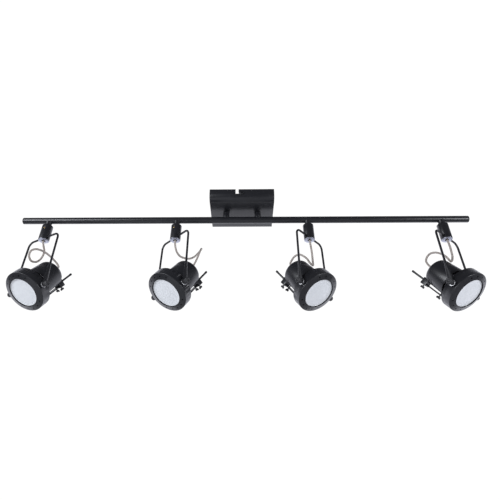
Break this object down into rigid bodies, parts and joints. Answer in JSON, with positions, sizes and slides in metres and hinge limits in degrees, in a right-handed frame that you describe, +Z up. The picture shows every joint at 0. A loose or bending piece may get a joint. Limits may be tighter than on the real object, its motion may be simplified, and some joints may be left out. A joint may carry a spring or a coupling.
{
  "type": "track lighting fixture",
  "caption": "Ceiling spotlight bar: a canopy on a slim round tube that carries swivelling yokes with drum-shaped lamp heads, each fed by a looped braided cable.",
  "frame": {"origin": "centre of the face that lies against the ceiling, on the mounting bracket's upper face", "axes": "+Z up into the ceiling, +X along the bar, the lamps shine towards -Y"},
  "size_m": [1.33, 0.1868, 0.3337],
  "materials": {
    "black_powder_coat": "satin, fine-grained black powder coat",
    "black_steel": "satin black coated steel",
    "zinc_plate": "bright zinc plate",
    "ceramic": "unglazed white ceramic",
    "lamp_white": "frosted front glass and pale metal bowl",
    "knob_plastic": "moulded black plastic with a ribbed edge",
    "braided_sleeve": "braided beige and brown sleeve",
    "brass": "plain brass screws"
  },
  "bodies": {
    "root": {"canopy_cover": "black_powder_coat", "mounting_bracket": "zinc_plate", "canopy_screw_front": "black_steel", "canopy_screw_back": "black_steel", "terminal_block": "ceramic", "bar_tube": "black_powder_coat", "canopy_post_left": "black_powder_coat", "canopy_post_right": "black_powder_coat"},
    "swivel_1": {"swivel_hub_1": "black_powder_coat", "yoke_1": "black_steel", "lamp_cable_1": "braided_sleeve"},
    "head_1": {"bezel_ring_1": "black_powder_coat", "reflector_lamp_1": "lamp_white", "lampholder_1": "ceramic", "rear_cup_1": "black_powder_coat", "support_rail_1": "black_steel", "clamp_block_1": "black_powder_coat", "aiming_rod_1": "black_steel"},
    "knob_left_1": {"pivot_knob_left_1": "knob_plastic"},
    "knob_right_1": {"pivot_knob_right_1": "knob_plastic"},
    "wing_1": {"wing_screw_1": "black_steel"},
    "swivel_2": {"swivel_hub_2": "black_powder_coat", "yoke_2": "black_steel", "lamp_cable_2": "braided_sleeve"},
    "head_2": {"bezel_ring_2": "black_powder_coat", "reflector_lamp_2": "lamp_white", "lampholder_2": "ceramic", "rear_cup_2": "black_powder_coat", "support_rail_2": "black_steel", "clamp_block_2": "black_powder_coat", "aiming_rod_2": "black_steel"},
    "knob_left_2": {"pivot_knob_left_2": "knob_plastic"},
    "knob_right_2": {"pivot_knob_right_2": "knob_plastic"},
    "wing_2": {"wing_screw_2": "black_steel"},
    "swivel_3": {"swivel_hub_3": "black_powder_coat", "yoke_3": "black_steel", "lamp_cable_3": "braided_sleeve"},
    "head_3": {"bezel_ring_3": "black_powder_coat", "reflector_lamp_3": "lamp_white", "lampholder_3": "ceramic", "rear_cup_3": "black_powder_coat", "support_rail_3": "black_steel", "clamp_block_3": "black_powder_coat", "aiming_rod_3": "black_steel"},
    "knob_left_3": {"pivot_knob_left_3": "knob_plastic"},
    "knob_right_3": {"pivot_knob_right_3": "knob_plastic"},
    "wing_3": {"wing_screw_3": "black_steel"},
    "swivel_4": {"swivel_hub_4": "black_powder_coat", "yoke_4": "black_steel", "lamp_cable_4": "braided_sleeve"},
    "head_4": {"bezel_ring_4": "black_powder_coat", "reflector_lamp_4": "lamp_white", "lampholder_4": "ceramic", "rear_cup_4": "black_powder_coat", "support_rail_4": "black_steel", "clamp_block_4": "black_powder_coat", "aiming_rod_4": "black_steel"},
    "knob_left_4": {"pivot_knob_left_4": "knob_plastic"},
    "knob_right_4": {"pivot_knob_right_4": "knob_plastic"},
    "wing_4": {"wing_screw_4": "black_steel"}
  },
  "joints": [
    {"name": "pan_1", "type": "hinge", "parent": "root", "child": "swivel_1", "pos_m": [-0.585, 0, -0.09], "axis": [0, 0, 1], "range_deg": [-132, 188]},
    {"name": "tilt_1", "type": "hinge", "parent": "swivel_1", "child": "head_1", "pos_m": [-0.585, 0, -0.2859], "axis": [0.8829, -0.4695, 0], "range_deg": [-54.5, 35.5], "deforming": ["lamp_cable_1"]},
    {"name": "knob_left_turn_1", "type": "hinge", "parent": "head_1", "child": "knob_left_1", "pos_m": [-0.64681, 0.03286, -0.2859], "axis": [-0.8829, 0.4695, 0], "range_deg": [-180, 180]},
    {"name": "knob_right_turn_1", "type": "hinge", "parent": "head_1", "child": "knob_right_1", "pos_m": [-0.52319, -0.03286, -0.2859], "axis": [0.8829, -0.4695, 0], "range_deg": [-180, 180]},
    {"name": "wing_turn_1", "type": "hinge", "parent": "head_1", "child": "wing_1", "pos_m": [-0.5368, 0.09066, -0.24183], "axis": [-0.3822, -0.7188, 0.5807], "range_deg": [-180, 180]},
    {"name": "pan_2", "type": "hinge", "parent": "root", "child": "swivel_2", "pos_m": [-0.195, 0, -0.09], "axis": [0, 0, 1], "range_deg": [-114.5, 205.5]},
    {"name": "tilt_2", "type": "hinge", "parent": "swivel_2", "child": "head_2", "pos_m": [-0.195, 0, -0.2859], "axis": [0.7009, -0.7133, 0], "range_deg": [-53.2, 36.8], "deforming": ["lamp_cable_2"]},
    {"name": "knob_left_turn_2", "type": "hinge", "parent": "head_2", "child": "knob_left_2", "pos_m": [-0.24406, 0.04993, -0.2859], "axis": [-0.7009, 0.7133, 0], "range_deg": [-180, 180]},
    {"name": "knob_right_turn_2", "type": "hinge", "parent": "head_2", "child": "knob_right_2", "pos_m": [-0.14594, -0.04993, -0.2859], "axis": [0.7009, -0.7133, 0], "range_deg": [-180, 180]},
    {"name": "wing_turn_2", "type": "hinge", "parent": "head_2", "child": "wing_2", "pos_m": [-0.12107, 0.07265, -0.24417], "axis": [-0.5711, -0.5612, 0.599], "range_deg": [-180, 180]},
    {"name": "pan_3", "type": "hinge", "parent": "root", "child": "swivel_3", "pos_m": [0.195, 0, -0.09], "axis": [0, 0, 1], "range_deg": [-208.5, 111.5]},
    {"name": "tilt_3", "type": "hinge", "parent": "swivel_3", "child": "head_3", "pos_m": [0.195, 0, -0.2859], "axis": [0.6626, 0.749, 0], "range_deg": [-53, 37], "deforming": ["lamp_cable_3"]},
    {"name": "knob_left_turn_3", "type": "hinge", "parent": "head_3", "child": "knob_left_3", "pos_m": [0.14862, -0.05243, -0.2859], "axis": [-0.6626, -0.749, 0], "range_deg": [-180, 180]},
    {"name": "knob_right_turn_3", "type": "hinge", "parent": "head_3", "child": "knob_right_3", "pos_m": [0.24138, 0.05243, -0.2859], "axis": [0.6626, 0.749, 0], "range_deg": [-180, 180]},
    {"name": "wing_turn_3", "type": "hinge", "parent": "head_3", "child": "wing_3", "pos_m": [0.11726, 0.06878, -0.24454], "axis": [0.5981, -0.5292, 0.6018], "range_deg": [-180, 180]},
    {"name": "pan_4", "type": "hinge", "parent": "root", "child": "swivel_4", "pos_m": [0.585, 0, -0.09], "axis": [0, 0, 1], "range_deg": [-201, 119]},
    {"name": "tilt_4", "type": "hinge", "parent": "swivel_4", "child": "head_4", "pos_m": [0.585, 0, -0.2859], "axis": [0.7547, 0.6561, 0], "range_deg": [-55.4, 34.6], "deforming": ["lamp_cable_4"]},
    {"name": "knob_left_turn_4", "type": "hinge", "parent": "head_4", "child": "knob_left_4", "pos_m": [0.53217, -0.04592, -0.2859], "axis": [-0.7547, -0.6561, 0], "range_deg": [-180, 180]},
    {"name": "knob_right_turn_4", "type": "hinge", "parent": "head_4", "child": "knob_right_4", "pos_m": [0.63783, 0.04592, -0.2859], "axis": [0.7547, 0.6561, 0], "range_deg": [-180, 180]},
    {"name": "wing_turn_4", "type": "hinge", "parent": "head_4", "child": "wing_4", "pos_m": [0.5181, 0.07696, -0.24022], "axis": [0.54, -0.6212, 0.5678], "range_deg": [-180, 180]}
  ]
}
